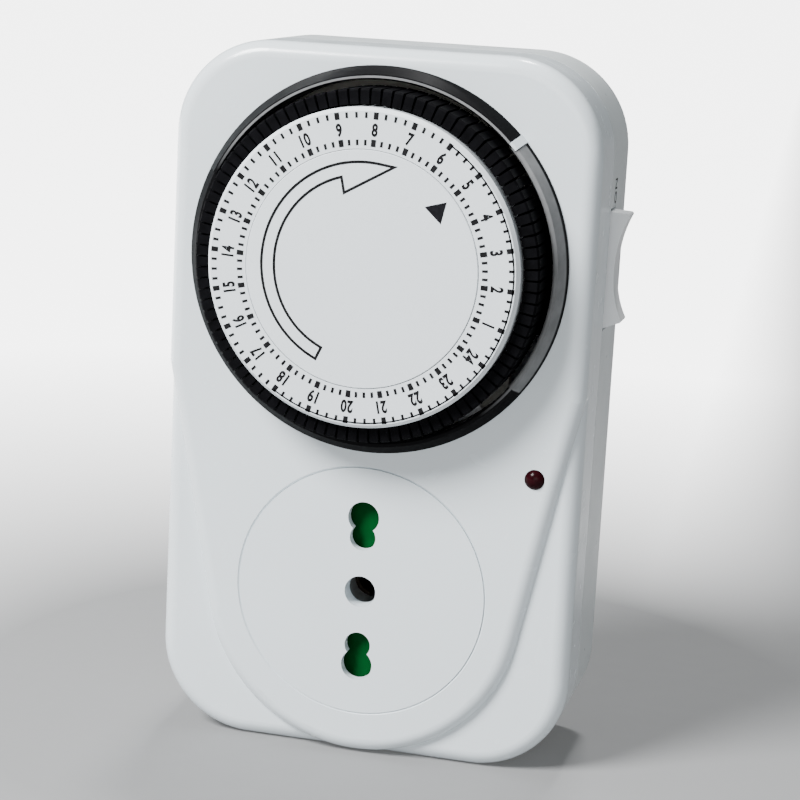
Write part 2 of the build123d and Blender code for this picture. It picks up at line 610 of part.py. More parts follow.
def dial_wheel():
    # drum on spokes, with a groove that keeps the tappets' tabs
    bore_r = POST_R + 0.06
    wall_r = DIAL_PITCH_R - 0.7
    groove_r = DRUM_R - TAB_REACH - GAP
    neck_r = RING_R - RING_SKIRT_T - GAP
    shoulder_z = DIAL_TOP_Z - RING_H - GAP
    hub_z = DRUM_FOOT_Z - GEAR_T + 0.2
    wheel = turned([(bore_r, hub_z), (2 * POST_R, hub_z), (2 * POST_R, DRUM_TOP_Z - 2),
                    (wall_r, DRUM_TOP_Z - 2),
                    (wall_r, DRUM_FOOT_Z), (DRUM_R, DRUM_FOOT_Z), (DRUM_R, GROOVE_Z0), (groove_r, GROOVE_Z0),
                    (groove_r, GROOVE_Z1), (DRUM_R, GROOVE_Z1), (DRUM_R, shoulder_z), (neck_r, shoulder_z),
                    (neck_r, DRUM_TOP_Z), (bore_r, DRUM_TOP_Z)])
    for n in range(6):
        spoke = block(2 * POST_R - 0.5, wall_r + 0.5, -0.6, 0.6, FACE_Z - 1.5, DRUM_TOP_Z - 1)
        wheel += Rot(0, 0, 60 * n) * spoke
    # driving teeth under the drum; a tooth points along the line to the idler
    bore = DIAL_PITCH_R - 2.0
    rim = gear(DIAL_TEETH, DRUM_FOOT_Z - GEAR_T, DRUM_FOOT_Z + 0.01, IDLER_ANGLE)
    rim -= cyl(bore, DRUM_FOOT_Z - GEAR_T - CUT, DRUM_FOOT_Z + CUT)
    rim += ring(wall_r + 0.12, bore, DRUM_FOOT_Z - 0.01, DRUM_FOOT_Z + 1.2)
    return at_dial() * (wheel + rim)


def hour_tappets(hour):
    # four quarter-hour tappets; a tab in the drum's groove limits the stroke
    tab_r = TAPPET_IN_R - TAB_REACH - GAP
    profile = [(TAPPET_IN_R, TAPPET_FOOT_Z), (TAPPET_OUT_R, TAPPET_FOOT_Z),
               (TAPPET_OUT_R, TAPPET_TOP_Z - 0.35),
               (TAPPET_OUT_R - 0.3, TAPPET_TOP_Z), (TAPPET_IN_R, TAPPET_TOP_Z), (TAPPET_IN_R, TAB_Z1),
               (tab_r, TAB_Z1), (tab_r, TAB_Z0), (TAPPET_IN_R, TAB_Z0)]
    tappet = side_prism(profile, -TAPPET_W / 2, TAPPET_W / 2)
    step = 360 / (HOURS * PER_HOUR)
    first = 90 + DIAL_TURN + 360 / HOURS * hour
    return Compound(children=[at_dial(first + step * (n + 0.5)) * tappet for n in range(PER_HOUR)])


# ---------------------------------------------------------------- gear train
def mechanism_plate():
    step_y = PLATE_Y1 - PLATE_STEP_H
    plate = block(PLATE_X0, PLATE_X1, PLATE_Y0, step_y, PLATE_Z0, PLATE_Z1)
    plate += block(PLATE_X0 + PLATE_STEP_W, PLATE_X1, step_y - CUT, PLATE_Y1, PLATE_Z0, PLATE_Z1)
    plate += block(PLATE_X1 - 1, LEVER_PIVOT_X + 1, LEVER_Y - 5.8, LEVER_Y + 4.1, PLATE_Z0, PLATE_Z1)
    half = MICRO_W / 2 + 0.3
    plate -= block(MICRO_X0 - 0.4, MICRO_X1 + 0.4, LEVER_Y - half, LEVER_Y + half, 0, FACE_Z)
    for side in (-1, 1):
        ear_y = LEVER_Y + side * EAR_Y
        plate += block(LEVER_PIVOT_X - 1.4, LEVER_PIVOT_X + 1, ear_y - EAR_T / 2, ear_y + EAR_T / 2,
                       PLATE_Z1 - 0.5, LEVER_PIVOT_Z + 1.6)
    plate -= along_y(LEVER_PIVOT_R + SEAT, LEVER_PIVOT_X, LEVER_Y - 6, LEVER_Y + 6, LEVER_PIVOT_Z)
    plate -= cyl(POST_R - 1, 0, FACE_Z, 0, DIAL_Y)
    plate += cyl(ARBOR_R + 1.6, PLATE_Z1 - 0.2, IDLER_Z0 - 0.2, IDLER_X, IDLER_Y)
    plate -= cyl(ARBOR_R + FIT, 0, FACE_Z, IDLER_X, IDLER_Y)
    plate -= cyl(4.2, 0, FACE_Z, MOTOR_X, MOTOR_Y)
    for x, y in PLATE_SCREWS:
        plate -= cyl(PLATE_SCREW_R + 0.35, 0, FACE_Z, x, y)
    for x, y in MOTOR_SCREWS:
        plate -= cyl(MOTOR_SCREW_R + 0.15, 0, FACE_Z, x, y)
    return plate


def plate_screws():
    screws = []
    top = PLATE_Z1 + 1.2
    for x, y in PLATE_SCREWS:
        screw = cyl(PLATE_SCREW_HEAD_R, PLATE_Z1 + SEAT, top, x, y)
        screw += cyl(PLATE_SCREW_R, PLATE_Z0 - PLATE_SCREW_L, PLATE_Z1 + 0.5, x, y)
        screws.append(screw - cross_recess(x, y, top - 0.5, top + CUT, 1.2))
    return Compound(children=screws)


def synchronous_motor():
    seat = PLATE_Z0 - FIT
    can = cyl(MOTOR_R, FLOOR_Z + 1.2, seat, MOTOR_X, MOTOR_Y)
    can = fillet(can.faces().sort_by(Axis.Z)[0].edges(), 1.2)
    can += cyl(4.0, seat - 0.5, PLATE_Z1 + 0.4, MOTOR_X, MOTOR_Y)
    for x, y in MOTOR_SCREWS:
        x0, x1 = sorted((x, (x + MOTOR_X) / 2))
        y0, y1 = sorted((y, (y + MOTOR_Y) / 2))
        can += cyl(3.2, seat - MOTOR_EAR_T, seat, x, y) + block(x0, x1, y0, y1, seat - MOTOR_EAR_T, seat)
        can -= cyl(MOTOR_SCREW_R + FIT, seat - 8, PLATE_Z0 + CUT, x, y)
    return can - cyl(ARBOR_R - FIT, PLATE_Z0 - 4, FACE_Z, MOTOR_X, MOTOR_Y)


def motor_screws():
    screws = []
    top = PLATE_Z1 + 1.1
    for x, y in MOTOR_SCREWS:
        screw = cyl(2.1, PLATE_Z1 + SEAT, top, x, y)
        screw += cyl(MOTOR_SCREW_R, PLATE_Z0 - 1.4, PLATE_Z1 + 0.5, x, y)
        screws.append(screw - cross_recess(x, y, top - 0.4, top + CUT, 1.1))
    return Compound(children=screws)


def motor_pinion():
    phase = MOTOR_ANGLE + 180 + 180 / MOTOR_TEETH
    pinion = gear(MOTOR_TEETH, IDLER_Z0 - GAP, IDLER_Z0 + IDLER_T + 0.2, phase)
    shaft = cyl(ARBOR_R - GAP, PLATE_Z0 - 3.8, IDLER_Z0 + IDLER_T + 0.4)
    return Pos(MOTOR_X, MOTOR_Y, 0) * (pinion + shaft)


def idler_gear():
    wheel = gear(IDLER_TEETH, IDLER_Z0, IDLER_Z0 + IDLER_T, MOTOR_ANGLE)
    wheel += gear(IDLER_PINION_TEETH, IDLER_Z0 + IDLER_T - 0.5, DRUM_FOOT_Z - 0.2,
                  IDLER_ANGLE + 180 + 180 / IDLER_PINION_TEETH)
    hole_ring = MODULE * (IDLER_TEETH + IDLER_PINION_TEETH) / 4
    for n in range(4):
        wheel -= Rot(0, 0, 15 + 90 * n) * cyl(2.2, PLATE_Z1, DRUM_FOOT_Z, hole_ring, 0)
    return Pos(IDLER_X, IDLER_Y, 0) * (wheel - cyl(ARBOR_R + FIT, 0, FACE_Z))


def idler_shaft():
    return cyl(ARBOR_R, PLATE_Z0 + GAP, DRUM_FOOT_Z - 0.15, IDLER_X, IDLER_Y)


# ------------------------------------------------------ lever and microswitch
def switch_lever():
    lever = block(NOSE_X - 1, LEVER_PIVOT_X, LEVER_Y - LEVER_HALF_W, LEVER_Y + LEVER_HALF_W,
                  LEVER_Z0, LEVER_Z1)
    lever += along_y(LEVER_HUB_R, LEVER_PIVOT_X, LEVER_Y - LEVER_HUB_HALF, LEVER_Y + LEVER_HUB_HALF,
                     LEVER_PIVOT_Z)
    nose = block(NOSE_R - 0.5, NOSE_R + 0.8, -NOSE_HALF_W, NOSE_HALF_W, LEVER_Z1 - 0.5, NOSE_TOP_Z)
    nose = chamfer(nose.edges().filter_by(Axis.X).sort_by(Axis.Z)[-2:], 0.5)
    lever += at_dial(POINTER_ANGLE) * nose
    return lever - along_y(LEVER_PIVOT_R + FIT, LEVER_PIVOT_X, LEVER_Y - 5, LEVER_Y + 5, LEVER_PIVOT_Z)


def lever_pivot():
    reach = EAR_Y + EAR_T / 2 + 0.5
    return along_y(LEVER_PIVOT_R, LEVER_PIVOT_X, LEVER_Y - reach, LEVER_Y + reach, LEVER_PIVOT_Z)


def microswitch():
    case = block(MICRO_X0, MICRO_X1, LEVER_Y - MICRO_W / 2, LEVER_Y + MICRO_W / 2, MICRO_Z0, MICRO_Z1)
    case -= cyl(PLUNGER_R + FIT, MICRO_Z1 - 3, MICRO_Z1 + CUT, PLUNGER_X, LEVER_Y)
    for x in (MICRO_X0 + 2, MICRO_X1 - 2):
        case += block(x - 0.4, x + 0.4, LEVER_Y - 1.6, LEVER_Y + 1.6, MICRO_Z0 - 4, MICRO_Z0 + 0.5)
    return case


def microswitch_plunger():
    plunger = cyl(PLUNGER_R, MICRO_Z1 - 1.9, LEVER_Z0 - 0.12, PLUNGER_X, LEVER_Y)
    return fillet(plunger.faces().sort_by(Axis.Z)[-1].edges(), 0.4)


# --------------------------------------------------------------------- rocker
def rocker_button():
    # hollow working face between a high top end and a low foot, and a wedge behind it
    def at(reach, rise):
        return (SIDE_X + reach, ROCKER_Y + rise * ROCKER_HALF)
    working = Spline(at(ROCKER_TOP_REACH, 0.98), at(0.53 * ROCKER_TOP_REACH, 0.54),
                     at(ROCKER_WAIST_REACH, 0.11), at(0.48 * ROCKER_FOOT_REACH, -0.4),
                     at(ROCKER_FOOT_REACH, -0.87))
    back_x = ROCKER_PIVOT_X - 2.6
    shoulder_x = ROCKER_PIVOT_X + 1.0
    behind = [at(ROCKER_FOOT_REACH, -0.87), (SIDE_X + FIT, ROCKER_Y0), (shoulder_x, ROCKER_Y0 + GAP),
              (back_x, ROCKER_Y - 5.5), (back_x, ROCKER_Y + 5.5), (shoulder_x, ROCKER_Y1 - GAP),
              (SIDE_X + FIT, ROCKER_Y1), at(ROCKER_TOP_REACH, 0.98)]
    face = make_face([working] + [Line(a, b) for a, b in zip(behind, behind[1:])])
    button = extrude(Pos(0, 0, ROCKER_Z0) * face, ROCKER_T)
    tips = [e for e in button.edges().filter_by(Axis.Z) if e.center().X > SIDE_X + 2.4]
    button = fillet(tips, 0.35)
    return button + cyl(ROCKER_PIVOT_R, ROCKER_Z0 - 1.1, ROCKER_Z1 + 1.1, ROCKER_PIVOT_X, ROCKER_Y)


def rocker_housing():
    y0 = ROCKER_Y0 - 2
    y1 = ROCKER_Y1 + 2
    housing = block(HOUSING_X0, HOUSING_X1, y0, y1, HOUSING_Z0, HOUSING_Z1)
    housing -= block(HOUSING_X0 + 5, 2 * SIDE_X, y0 + 1.2, y1 - 1.2, HOUSING_Z0 + HOUSING_T,
                     HOUSING_Z1 - HOUSING_T)
    return housing - cyl(ROCKER_PIVOT_R + FIT, 0, FACE_Z, ROCKER_PIVOT_X, ROCKER_Y)


def rocker_terminals():
    middle_z = (ROCKER_Z0 + ROCKER_Z1) / 2
    blades = []
    for n in (-1, 0, 1):
        y = ROCKER_Y + 7 * n
        blades.append(block(HOUSING_X0 - 5, HOUSING_X0 - FIT, y - 1.6, y + 1.6,
                            middle_z - 0.4, middle_z + 0.4))
    return Compound(children=blades)


# ------------------------------------------------------------------ indicator
def indicator_lens():
    rim_z = FACE_Z + GAP
    dome_r = (LENS_R ** 2 + LENS_RISE ** 2) / (2 * LENS_RISE)
    dome = Pos(LAMP_X, LAMP_Y, rim_z + LENS_RISE - dome_r) * Sphere(dome_r)
    lens = cyl(LENS_R, LENS_FOOT_Z, rim_z, LAMP_X, LAMP_Y)
    lens += dome & cyl(LENS_R, rim_z - GAP, rim_z + 3, LAMP_X, LAMP_Y)
    return lens + cyl(LENS_FLANGE_R, LENS_FOOT_Z, UNDER_Z - GAP, LAMP_X, LAMP_Y)


def indicator_lamp():
    lamp = cyl(LAMP_R, BOARD_Z0 + BOARD_T + FIT, LENS_FOOT_Z - GAP, LAMP_X, LAMP_Y)
    return fillet(lamp.faces().sort_by(Axis.Z)[-1].edges(), 0.6)


def indicator_board():
    return block(LAMP_X - BOARD_LEFT, LAMP_X + BOARD_RIGHT, LAMP_Y - BOARD_LOW, LAMP_Y + BOARD_HIGH,
                 BOARD_Z0, BOARD_Z0 + BOARD_T)


def save(name, shape):
    # stand the front-view drawing up: its y becomes +Z, its z becomes -Y
    export_step(Rot(90, 0, 0) * shape, "parts/" + name + ".step")


os.makedirs("parts", exist_ok=True)
save("front_cover", front_cover())
save("rear_cover", rear_cover())
save("case_screws", case_screws())
save("socket_face", socket_face())
save("safety_shutter", safety_shutter())
save("shutter_spring", shutter_spring())
save("socket_body", socket_body())
save("line_contact", leaf_contact(1))
save("neutral_contact", leaf_contact(-1))
save("earth_contact", earth_contact())
save("line_pin", power_pin(PIN_PITCH))
save("neutral_pin", power_pin(-PIN_PITCH))
save("earth_pin", earth_pin())
save("pin_sleeves", pin_sleeves())
save("dial_collar", dial_collar())
save("number_ring", number_ring())
save("centre_cap", centre_cap())
save("dial_wheel", dial_wheel())
for hour_number in range(1, HOURS + 1):
    save("hour_tappets_%02d" % hour_number, hour_tappets(hour_number))
save("mechanism_plate", mechanism_plate())
save("plate_screws", plate_screws())
save("synchronous_motor", synchronous_motor())
save("motor_screws", motor_screws())
save("motor_pinion", motor_pinion())
save("idler_gear", idler_gear())
save("idler_shaft", idler_shaft())
save("switch_lever", switch_lever())
save("lever_pivot", lever_pivot())
save("microswitch", microswitch())
save("microswitch_plunger", microswitch_plunger())
save("rocker_button", rocker_button())
save("rocker_housing", rocker_housing())
save("rocker_terminals", rocker_terminals())
save("indicator_lens", indicator_lens())
save("indicator_lamp", indicator_lamp())
save("indicator_board", indicator_board())
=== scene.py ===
from math import cos, degrees, pi, radians, sin

import bpy
from mathutils import Matrix, Vector


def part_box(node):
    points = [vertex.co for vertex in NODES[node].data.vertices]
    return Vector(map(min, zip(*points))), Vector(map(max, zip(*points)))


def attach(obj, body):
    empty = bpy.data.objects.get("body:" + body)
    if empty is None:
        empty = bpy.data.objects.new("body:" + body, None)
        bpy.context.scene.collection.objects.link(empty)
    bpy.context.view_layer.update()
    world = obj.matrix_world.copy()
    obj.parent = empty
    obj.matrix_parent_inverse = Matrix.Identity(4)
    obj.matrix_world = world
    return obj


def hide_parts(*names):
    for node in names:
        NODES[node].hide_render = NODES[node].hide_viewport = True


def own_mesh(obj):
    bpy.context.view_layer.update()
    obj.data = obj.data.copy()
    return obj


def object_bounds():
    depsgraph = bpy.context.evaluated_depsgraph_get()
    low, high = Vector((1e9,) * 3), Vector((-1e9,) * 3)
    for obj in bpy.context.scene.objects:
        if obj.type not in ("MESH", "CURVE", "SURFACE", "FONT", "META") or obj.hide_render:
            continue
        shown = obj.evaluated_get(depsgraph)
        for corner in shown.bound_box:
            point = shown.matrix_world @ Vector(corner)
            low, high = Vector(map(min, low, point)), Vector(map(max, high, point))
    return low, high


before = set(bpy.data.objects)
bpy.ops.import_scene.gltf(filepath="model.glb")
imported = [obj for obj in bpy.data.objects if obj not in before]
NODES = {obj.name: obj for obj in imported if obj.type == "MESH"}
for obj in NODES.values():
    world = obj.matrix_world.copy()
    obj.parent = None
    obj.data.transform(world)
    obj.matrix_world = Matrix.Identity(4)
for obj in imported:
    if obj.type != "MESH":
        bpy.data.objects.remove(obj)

# Looks of the plug-in 24-hour timer. Metres; +X right, +Z up, and the dial faces -Y.
# Angles are degrees, anticlockwise from +X in the front view, unless a line says otherwise.
CAD_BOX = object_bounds()
MM = 0.001

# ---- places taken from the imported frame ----
RING_LOW, RING_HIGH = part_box("number_ring")
DIAL_Z = (RING_LOW.z + RING_HIGH.z) / 2
RING_FACE_Y = RING_LOW.y
CAP_FACE_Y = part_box("centre_cap")[0].y
CASE_RIGHT_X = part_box("front_cover")[1].x
FLOOR_Z = CAD_BOX[0][2]

# ---- colours, linear RGB ----
CASE_WHITE = (0.735, 0.800, 0.835)
# darker than CASE_WHITE: partly the rear cover's own tint, partly painted shade for the walls behind the
# parting line that the key light misses
REAR_WHITE_SHADED = (0.670, 0.715, 0.725)
DIAL_WHITE = (0.755, 0.805, 0.840)
ROCKER_WHITE = (0.890, 0.905, 0.915)
OFF_WHITE = (0.62, 0.61, 0.55)
ACETAL = (0.74, 0.72, 0.62)
# grey moulding, kept dark also as painted shade inside the socket holes
SOCKET_GREY_SHADED = (0.200, 0.205, 0.205)
TAPPET_BLACK = (0.0035, 0.0035, 0.0042)
SLEEVE_BLACK = (0.02, 0.02, 0.022)
COLLAR_BLACK = (0.005, 0.005, 0.0055)
# painted reflection: the grey that the collar's right slope shows in place of the pale surroundings it
# mirrors
COLLAR_REFLECTION_GREY = (0.225, 0.230, 0.235)
SHUTTER_GREEN = (0.000, 0.044, 0.008)
LENS_RED = (0.016, 0.0015, 0.003)
BOARD_BROWN = (0.30, 0.17, 0.06)
GLASS = (0.85, 0.72, 0.60)
STEEL = (0.56, 0.57, 0.58)
MOTOR_CAN = (0.60, 0.61, 0.60)
NICKEL = (0.66, 0.64, 0.59)
BRASS = (0.42, 0.28, 0.11)
# near black: painted shade for the brass earth contact deep in the earth hole
EARTH_CONTACT_SHADE = (0.030, 0.024, 0.018)
DIAL_INK = (0.008, 0.008, 0.009)
MARK_INK = (0.006, 0.006, 0.008)
SWITCH_INK = (0.020, 0.021, 0.023)

# ---- shared material values ----
NOISE_LOW, NOISE_HIGH = 0.3, 0.7  # the range that a noise mostly keeps to
COLOUR_DETAIL = 3.0
GRAIN_DETAIL = 2.0
ROUGHNESS_DETAIL = 4.0
ROUGHNESS_SCALE = 220.0
ROUGHNESS_VARY = 0.05
COAT_ROUGHNESS = 0.12

# ---- collar's painted reflection (the grey sector) and painted highlight (the crest line) ----
REFLECTION_FROM = -37.0
REFLECTION_TO = 43.0
REFLECTION_END_FADE = 0.6
REFLECTION_EDGE_R = 31.75 * MM
REFLECTION_EDGE_FADE = 0.12 * MM
# painted highlight: a pale line along the collar's crest, from the right round to the upper left
HIGHLIGHT_TO = 140.0
HIGHLIGHT_END_FADE = 14.0
HIGHLIGHT_R = 30.35 * MM
HIGHLIGHT_HALF_W = 0.16 * MM
HIGHLIGHT_FADE = 0.08 * MM
REFLECTION_CLOUD_SCALE = 380.0
REFLECTION_CLOUD_LOW = 0.75  # the grey's least strength in its faint clouds

# ---- print: its gap to the face and its thickness ----
PRINT_LIFT = 0.012 * MM
PRINT_T = 0.020 * MM
MITRE_LIMIT = 0.35

# ---- dial print: marks are (length along the radius, width) ----
HOURS = 24
PER_HOUR = 4
HOUR_STEP = 360 / HOURS
HOUR_ZERO = 90 - 123.05  # hour 24's mark, 123.05 degrees clockwise of the top
OUTER_MARK_R = 24.74 * MM
INNER_MARK_R = 20.40 * MM
HOUR_MARK = (1.15 * MM, 0.80 * MM)
QUARTER_TICK = (0.92 * MM, 0.42 * MM)
NIGHT_FROM, NIGHT_TO = 6, -6  # from hour 6 back to hour 18
NIGHT_LINE_R = 25.05 * MM
NIGHT_LINE_W = 0.24 * MM
NIGHT_LINE_STEPS = 60

# ---- lettering: stretch narrows the letters, thicken widens their strokes ----
LETTER_SPACE = 1.08
LETTER_CURVE_STEPS = 6
NUMBER_R = 22.50 * MM
NUMBER_SIZE = 2.75 * MM
NUMBER_STRETCH = 0.70
NUMBER_THICKEN = 0.105 * MM
SWITCH_MARK_Y = -14.5 * MM
SWITCH_MARK_Z = 69.4 * MM
SWITCH_MARK_SIZE = 2.9 * MM
SWITCH_MARK_STRETCH = 0.95
SWITCH_MARK_THICKEN = 0.02 * MM

# ---- arrow on the cap, from its tail clockwise to its tip ----
ARROW_TAIL = 245.6
ARROW_NECK = 104.8
ARROW_BARB = ARROW_NECK + 0.5
ARROW_TIP = 74.4
ARROW_SHOULDER = 6.0  # how far before the tip the outer line stops
ARROW_R = 16.6 * MM
ARROW_FLARE = 0.75 * MM
ARROW_FLARE_FROM = 200.0
ARROW_FLARE_OVER = 110.0
ARROW_W = 2.13 * MM
ARROW_BARB_R = 12.65 * MM
ARROW_TIP_R = 17.5 * MM
ARROW_LINE = 0.44 * MM
ARROW_STEPS = 48

# ---- time triangle on the cap: (radius, angle) of its corners ----
TRIANGLE = ((18.1 * MM, 41.6), (14.86 * MM, 47.75), (15.3 * MM, 33.5))

# ---- shutter's return spring ----
SPRING_TURNS = 7
SPRING_TURN_STEPS = 24
SPRING_WIRE_R = 0.15 * MM
SPRING_WIRE_SIDES = 8

# ---- floor: where its strong glow begins and how softly ----
FLOOR_HALF = 12.0
FLOOR_TONE = (0.22, 0.223, 0.226)
FLOOR_MOTTLE = (2.0, 0.004)
FLOOR_ROUGHNESS = 0.9
FLOOR_GLOW_EVERYWHERE = 0.08
FLOOR_GLOW_BEHIND = 5.0
GLOW_REACH = 100.0  # past the floor's edge
GLOW_AWAY, GLOW_AWAY_FADE = 0.34, 0.26
GLOW_BEHIND, GLOW_BEHIND_FADE = 0.02, 0.14
GLOW_RIGHT, GLOW_RIGHT_FADE = 0.040, 0.040
GLOW_RIGHT_SLANT = 0.062

# ---- world and lamps ----
WORLD_COLOUR = (0.90, 0.97, 1.0, 1.0)
WORLD_STRENGTH = 0.19
LAMP_TARGET = Vector((0, 0, 0.05))

# ---- camera: the photograph's viewpoint, in the part's frame ----
CAMERA_PLACE = Vector((92.24, -385.52, 110.67)) * MM
CAMERA_RIGHT = Vector((0.967, 0.2495, 0.0525))
CAMERA_FORWARD = Vector((-0.2339, 0.9501, -0.2065))
FOCAL_PIXELS = 2241.6
IMAGE_PIXELS = 800
SENSOR_WIDTH = 36.0


# ------------------------------------------------------------------ materials
class Paint:
    """A Principled material whose colour, roughness and grain vary with object-space noise."""

    def __init__(self, name, roughness, coat=0.0, ior=1.5, metallic=0.0, transmission=0.0):
        self.material = bpy.data.materials.new(name)
        self.material.use_nodes = True
        self.tree = self.material.node_tree
        self.shader = self.tree.nodes["Principled BSDF"]
        self.coords = self.tree.nodes.new("ShaderNodeTexCoord").outputs["Object"]
        wear = self.rescale(self.noise(ROUGHNESS_SCALE, ROUGHNESS_DETAIL), NOISE_LOW, NOISE_HIGH,
                            roughness - ROUGHNESS_VARY, roughness + ROUGHNESS_VARY)
        self.feed(self.shader, {"Metallic": metallic, "IOR": ior, "Roughness": wear,
                                "Coat Weight": coat, "Coat Roughness": COAT_ROUGHNESS,
                                "Transmission Weight": transmission})

    def feed(self, node, inputs):
        """Gives each named input a plain value or another node's output."""
        for name, value in inputs.items():
            self.fill(node.inputs[name], value)

    def fill(self, socket, value):
        if isinstance(value, bpy.types.NodeSocket):
            self.tree.links.new(value, socket)
        else:
            socket.default_value = value

    def node(self, kind, inputs):
        node = self.tree.nodes.new(kind)
        self.feed(node, inputs)
        return node

    def noise(self, scale, detail, stretch=None):
        """An object-space noise; stretch scales each axis before it."""
        place = self.coords
        if stretch:
            place = self.node("ShaderNodeMapping", {"Vector": place, "Scale": stretch}).outputs["Vector"]
        inputs = {"Vector": place, "Scale": scale, "Detail": detail}
        return self.node("ShaderNodeTexNoise", inputs).outputs["Fac"]

    def ramp(self, value, stops):
        """A colour ramp of two stops, each a place and a colour."""
        node = self.node("ShaderNodeValToRGB", {"Fac": value})
        for element, (place, colour) in zip(node.color_ramp.elements, stops):
            element.position = place
            element.color = (*colour, 1.0)
        return node.outputs["Color"]

    def rescale(self, value, from_low, from_high, to_low=0.0, to_high=1.0):
        """Maps one range to another, and clamps."""
        inputs = {"Value": value, "From Min": from_low, "From Max": from_high,
                  "To Min": to_low, "To Max": to_high}
        return self.node("ShaderNodeMapRange", inputs).outputs["Result"]

    def math(self, operation, *values):
        node = self.tree.nodes.new("ShaderNodeMath")
        node.operation = operation
        for socket, value in zip(node.inputs, values):
            self.fill(socket, value)
        return node.outputs["Value"]

    def axes(self):
        """X, Y and Z of the object-space place."""
        parts = self.node("ShaderNodeSeparateXYZ", {"Vector": self.coords})
        return [parts.outputs[axis] for axis in "XYZ"]

    def length(self, a, b):
        """The length of the flat vector (a, b)."""
        square = self.math("ADD", self.math("MULTIPLY", a, a), self.math("MULTIPLY", b, b))
        return self.math("SQRT", square)

    def dial_coords(self):
        """Angle in degrees and radius about the dial's axis."""
        across, _, height = self.axes()
        up = self.math("SUBTRACT", height, DIAL_Z)
        angle = self.math("MULTIPLY", self.math("ARCTAN2", up, across), 180 / pi)
        return angle, self.length(across, up)

    def band(self, value, low, high, soft):
        """1 between low and high, fading to 0 over soft at either end."""
        rise = self.rescale(value, low - soft, low)
        fall = self.rescale(value, high + soft, high)
        return self.math("MULTIPLY", rise, fall)

    def colour(self, colour, scale, vary):
        """Mottles the colour by vary, a share of it, either way."""
        dark = tuple(c * (1 - vary) for c in colour)
        light = tuple(min(1.0, c * (1 + vary)) for c in colour)
        mixed = self.ramp(self.noise(scale, COLOUR_DETAIL), [(NOISE_LOW, dark), (NOISE_HIGH, light)])
        self.feed(self.shader, {"Base Color": mixed})

    def grain(self, scale, depth, strength, stretch=None):
        """A fine bump of the surface; depth is in millimetres."""
        height = self.noise(scale, GRAIN_DETAIL, stretch)
        inputs = {"Strength": strength, "Distance": depth * MM, "Height": height}
        bump = self.node("ShaderNodeBump", inputs)
        self.feed(self.shader, {"Normal": bump.outputs["Normal"]})


def surface(name, colour, roughness, mottle=(45.0, 0.03), grain=(1500.0, 0.012, 0.3),
            stretch=None, **shader):
    """A material; mottle is (scale, share), grain is (scale, depth in mm, strength)."""
    paint = Paint(name, roughness, **shader)
    paint.colour(colour, *mottle)
    paint.grain(*grain, stretch=stretch)
    return paint.material


def plated(name, colour, roughness, stretch=(1.0, 12.0, 1.0)):
    """Metal with a fine grain drawn out along one axis."""
    return surface(name, colour, roughness, (90.0, 0.06), (900.0, 0.004, 0.25), stretch, metallic=1.0)


def ink(name, colour):
    return surface(name, colour, 0.60, (1400.0, 0.45), (4000.0, 0.004, 0.3), ior=1.2)


def collar_plastic():
    """Black, with a painted highlight along the crest line and a grey painted reflection over the sector
    at the right of the dial.
    """
    paint = Paint("black_collar_painted_sheen", 0.40, ior=1.11)
    angle, radius = paint.dial_coords()
    # painted reflection: grey over the collar's slope at the right of the dial, inside its outer edge
    sector = paint.band(angle, REFLECTION_FROM, REFLECTION_TO, REFLECTION_END_FADE)
    inside = paint.band(radius, 0.0, REFLECTION_EDGE_R, REFLECTION_EDGE_FADE)
    # painted highlight along the collar's crest
    crest = paint.band(radius, HIGHLIGHT_R - HIGHLIGHT_HALF_W, HIGHLIGHT_R + HIGHLIGHT_HALF_W, HIGHLIGHT_FADE)
    lit = paint.band(angle, REFLECTION_FROM, HIGHLIGHT_TO, HIGHLIGHT_END_FADE)
    reflection_share = paint.math("MULTIPLY", sector, inside)
    thin = paint.math("MULTIPLY", crest, lit)
    cloud = paint.rescale(paint.noise(REFLECTION_CLOUD_SCALE, COLOUR_DETAIL), NOISE_LOW, NOISE_HIGH, REFLECTION_CLOUD_LOW, 1.0)
    share = paint.math("MULTIPLY", paint.math("MAXIMUM", reflection_share, thin), cloud)
    colour = paint.ramp(share, [(0.0, COLLAR_BLACK), (1.0, COLLAR_REFLECTION_GREY)])
    paint.feed(paint.shader, {"Base Color": colour})
    paint.grain(900.0, 0.010, 0.20)
    return paint.material


def dress(material, *names):
    for name in names:
        slots = NODES[name].data.materials
        slots.clear()
        slots.append(material)


def dress_case():
    """The plastic pieces that are seen from outside."""
    tappets = ["hour_tappets_%02d" % hour for hour in range(1, HOURS + 1)]
    dress(surface("white_abs", CASE_WHITE, 0.24, (30.0, 0.012), (1800.0, 0.006, 0.12), coat=0.30),
          "front_cover")
    # rear cover: its darker tone is partly its own tint and partly painted shade on the side walls
    dress(surface("white_abs_rear_shaded", REAR_WHITE_SHADED, 0.32, (30.0, 0.015), (1500.0, 0.008, 0.15), coat=0.10),
          "rear_cover")
    dress(surface("white_socket_insert", CASE_WHITE, 0.34, (38.0, 0.012), (2200.0, 0.010, 0.20),
                  coat=0.10),
          "socket_face")
    dress(surface("dial_white", DIAL_WHITE, 0.30, (60.0, 0.010), (2400.0, 0.006, 0.15), coat=0.15),
          "number_ring", "centre_cap")
    dress(surface("black_tappet", TAPPET_BLACK, 0.60, (500.0, 0.30), (1500.0, 0.020, 0.35), ior=1.08),
          "dial_wheel", "microswitch", "rocker_housing", *tappets)
    dress(surface("rocker_white", ROCKER_WHITE, 0.45, grain=(2400.0, 0.010, 0.25)),
          "rocker_button")
    dress(surface("shutter_green", SHUTTER_GREEN, 0.55, (300.0, 0.15), (2600.0, 0.012, 0.3), ior=1.12),
          "safety_shutter")
    dress(surface("red_lens", LENS_RED, 0.16, (700.0, 0.35), (700.0, 0.02, 0.2), ior=1.18),
          "indicator_lens")
    dress(collar_plastic(), "dial_collar")


